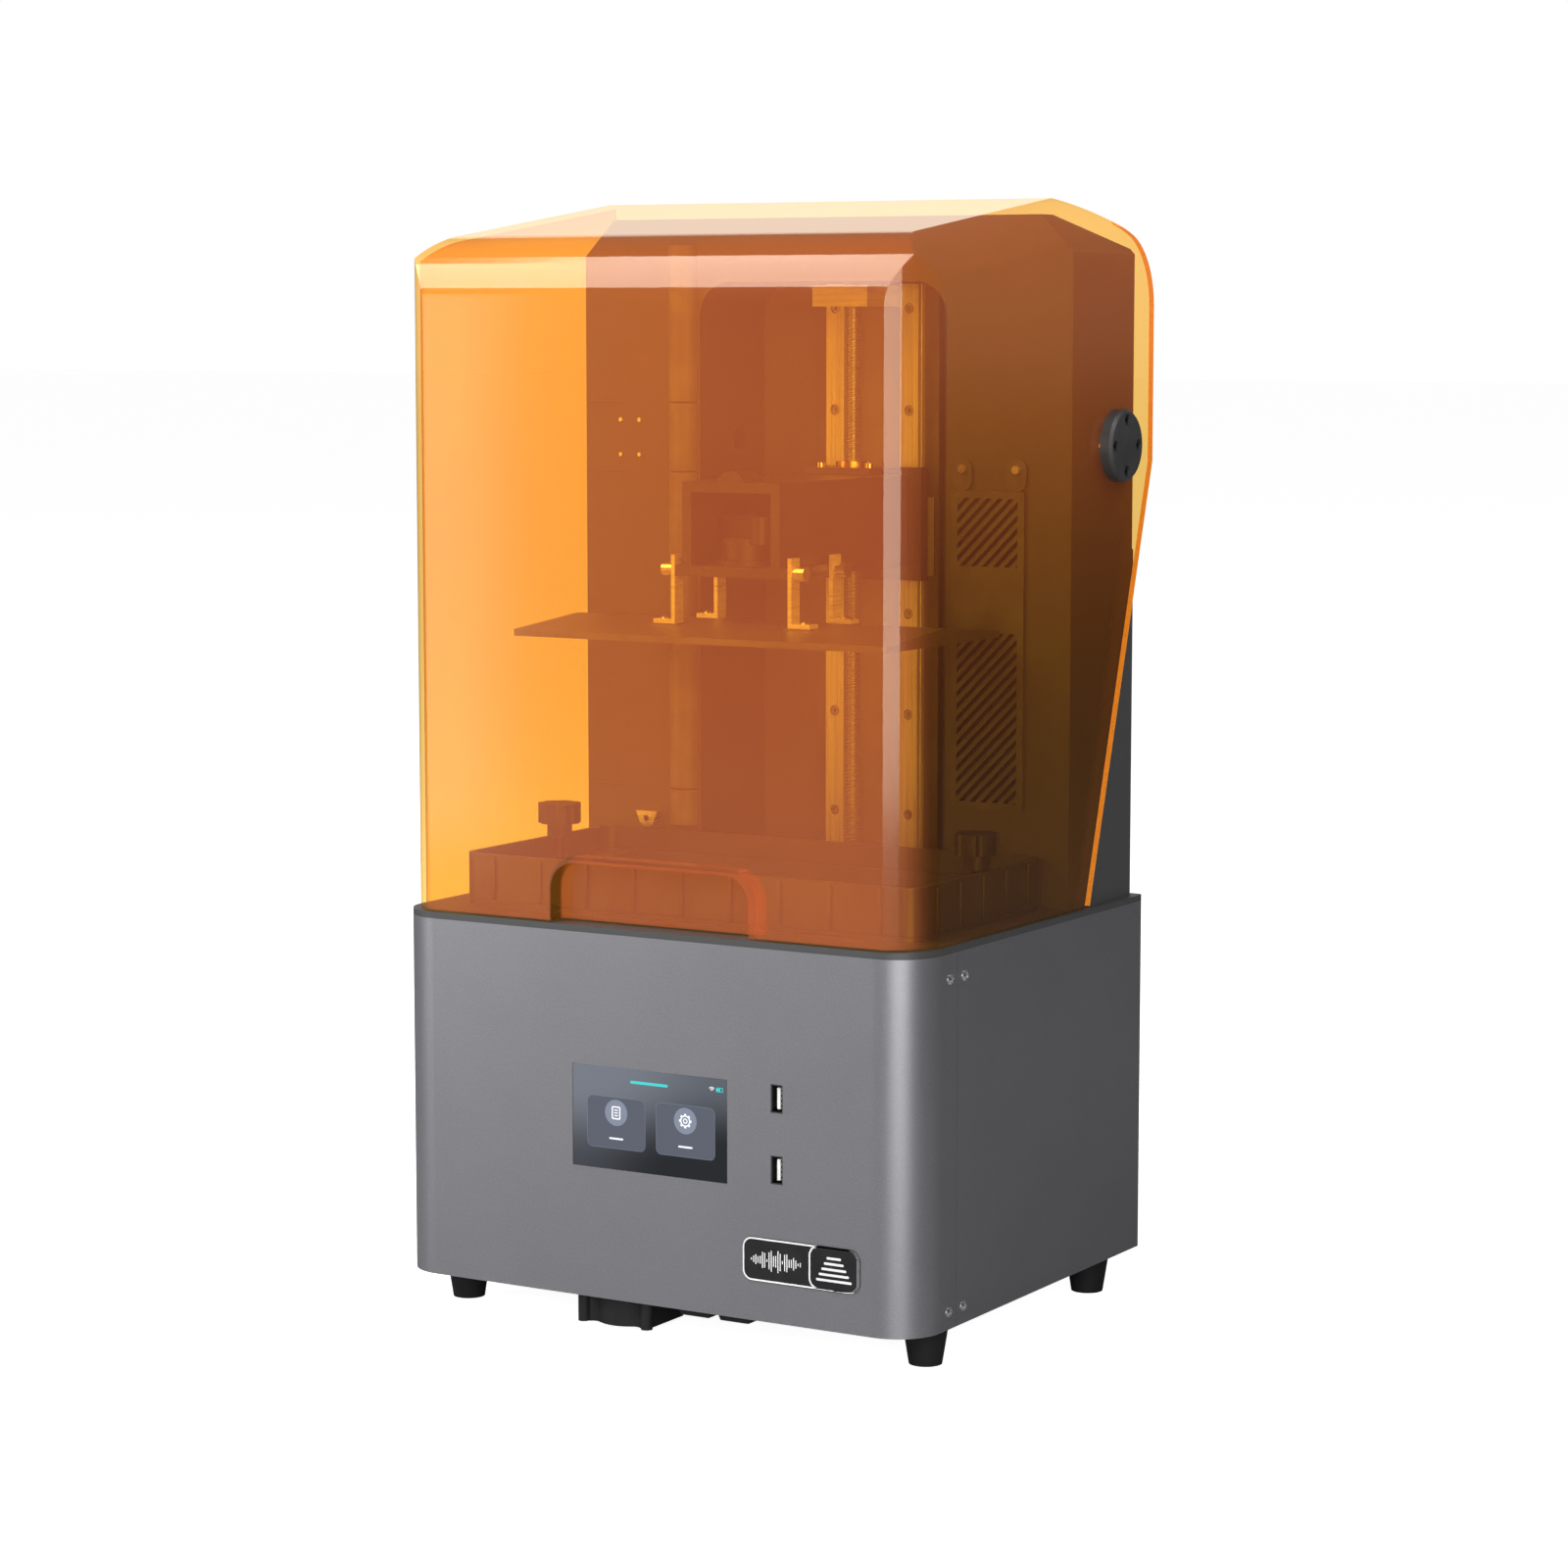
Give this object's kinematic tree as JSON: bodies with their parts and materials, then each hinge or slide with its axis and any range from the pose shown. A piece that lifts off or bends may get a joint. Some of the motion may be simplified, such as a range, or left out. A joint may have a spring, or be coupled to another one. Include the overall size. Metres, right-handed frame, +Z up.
{
  "type": "resin printer",
  "caption": "Desktop resin printer: grey metal base with touch screen, orange clear cover that tips up on side hinges, lift column, platform and vat.",
  "frame": {"origin": "on the surface the printer stands on, at the middle of its bounding box in plan", "axes": "+X to the printer's right as its user faces it, +Y to the rear, +Z up"},
  "size_m": [0.343, 0.2768, 0.6187],
  "materials": {
    "base_paint_light": "fine sparkling powder coat, mid grey",
    "base_paint_dark": "fine powder coat, dark grey",
    "column_paint": "satin powder coat, dark grey",
    "column_plastic": "fine moulded grain, dark grey",
    "foot_rubber": "matt black rubber",
    "screw_steel": "plain steel",
    "bright_screws": "bright nickel plate",
    "black_screws": "black oxide",
    "display_glass": "glossy cover lens over a lit display",
    "inner_metal": "zinc-plated sheet",
    "circuit_board": "green solder mask",
    "white_plastic": "white moulded plastic",
    "badge_black": "black label with a white outline",
    "lcd_glass": "dark polarised screen glass",
    "raw_aluminium": "machined aluminium",
    "black_plastic": "black moulded plastic",
    "red_plastic": "red moulded plastic",
    "motor_black": "black lacquer",
    "rail_steel": "ground steel",
    "black_anodised": "black anodised aluminium",
    "nut_brass": "turned brass",
    "plate_aluminium": "blasted and anodised aluminium",
    "filter_foam": "carbon foam",
    "hinge_grey": "dark grey moulded plastic",
    "cover_acrylic": "clear orange acrylic",
    "vat_aluminium": "dark anodised aluminium",
    "film_clear": "clear release film"
  },
  "bodies": {
    "base": {"front_panel": "base_paint_light", "rear_panel": "base_paint_dark", "bottom_plate": "base_paint_dark", "deck_plate": "base_paint_dark", "feet": "foot_rubber", "foot_screws": "screw_steel", "panel_screws": "bright_screws", "display_glass": "display_glass", "display_module": "inner_metal", "display_board": "circuit_board", "usb_shells": "bright_screws", "usb_tongues": "white_plastic", "badge": "badge_black", "front_support": "foot_rubber", "underside_pads": "foot_rubber", "light_screen": "lcd_glass", "light_housing": "inner_metal", "led_board": "white_plastic", "heat_sink": "raw_aluminium", "fan_frame": "black_plastic", "main_board": "circuit_board", "power_supply": "inner_metal", "power_inlet": "black_plastic", "switch_body": "black_plastic", "motor_bracket": "raw_aluminium", "z_motor": "motor_black", "z_back_plate": "raw_aluminium", "z_rails": "rail_steel", "rail_screws": "screw_steel", "top_bearing_block": "raw_aluminium", "screw_bearing": "rail_steel", "column_shell": "column_paint", "column_back": "column_paint", "column_rib": "column_plastic", "vent_grille": "column_plastic", "carbon_filter": "filter_foam", "hinge_housings": "black_plastic", "feed_nozzle": "screw_steel", "vat_tray": "vat_aluminium", "release_film": "film_clear", "film_frame": "vat_aluminium"},
    "cover": {"cover_shell": "cover_acrylic", "hinge_caps": "hinge_grey", "hinge_screws": "black_screws", "hinge_pins": "screw_steel"},
    "platform": {"rail_blocks": "rail_steel", "carriage_plate": "black_anodised", "screw_nut": "nut_brass", "platform_arm": "black_anodised", "leg_bracket": "black_anodised", "platform_legs": "bright_screws", "platform_screws": "screw_steel", "build_plate": "plate_aluminium"},
    "screw": {"lead_screw": "rail_steel", "screw_coupler": "raw_aluminium"},
    "clamp_knob": {"platform_knob": "black_plastic"},
    "vat_knob_left": {"vat_knob_left": "black_plastic"},
    "vat_knob_right": {"vat_knob_right": "black_plastic"},
    "rocker": {"power_rocker": "red_plastic"},
    "fan": {"fan_rotor": "black_plastic"}
  },
  "joints": [
    {"name": "cover_hinge", "type": "hinge", "parent": "base", "child": "cover", "pos_m": [0, 0.09193, 0.483], "axis": [-1, 0, 0], "range_deg": [0, 88]},
    {"name": "platform_lift", "type": "slide", "parent": "base", "child": "platform", "axis": [0, 0, 1], "range_m": [-0.1475, 0.084]},
    {"name": "lead_screw_spin", "type": "hinge", "parent": "base", "child": "screw", "pos_m": [0, 0.08443, 0.3], "axis": [0, 0, 1], "range_deg": [-6750, 3900]},
    {"name": "clamp_knob_turn", "type": "hinge", "parent": "platform", "child": "clamp_knob", "pos_m": [0, -0.03257, 0.42], "axis": [0, 0, 1], "range_deg": [0, 720]},
    {"name": "vat_knob_left_turn", "type": "hinge", "parent": "base", "child": "vat_knob_left", "pos_m": [-0.1365, -0.01758, 0.26], "axis": [0, 0, 1], "range_deg": [0, 1080]},
    {"name": "vat_knob_right_turn", "type": "hinge", "parent": "base", "child": "vat_knob_right", "pos_m": [0.1365, -0.01758, 0.26], "axis": [0, 0, 1], "range_deg": [0, 1080]},
    {"name": "power_rocker_tip", "type": "hinge", "parent": "base", "child": "rocker", "pos_m": [-0.062, 0.12568, 0.06], "axis": [1, 0, 0], "range_deg": [-18, 0]},
    {"name": "fan_spin", "type": "hinge", "parent": "base", "child": "fan", "pos_m": [0, -0.02357, 0.084], "axis": [0, 0, 1], "continuous": true}
  ],
  "couplings": [
    {"joint": "lead_screw_spin", "follows": "platform_lift", "rad_per_m": 785.4}
  ]
}
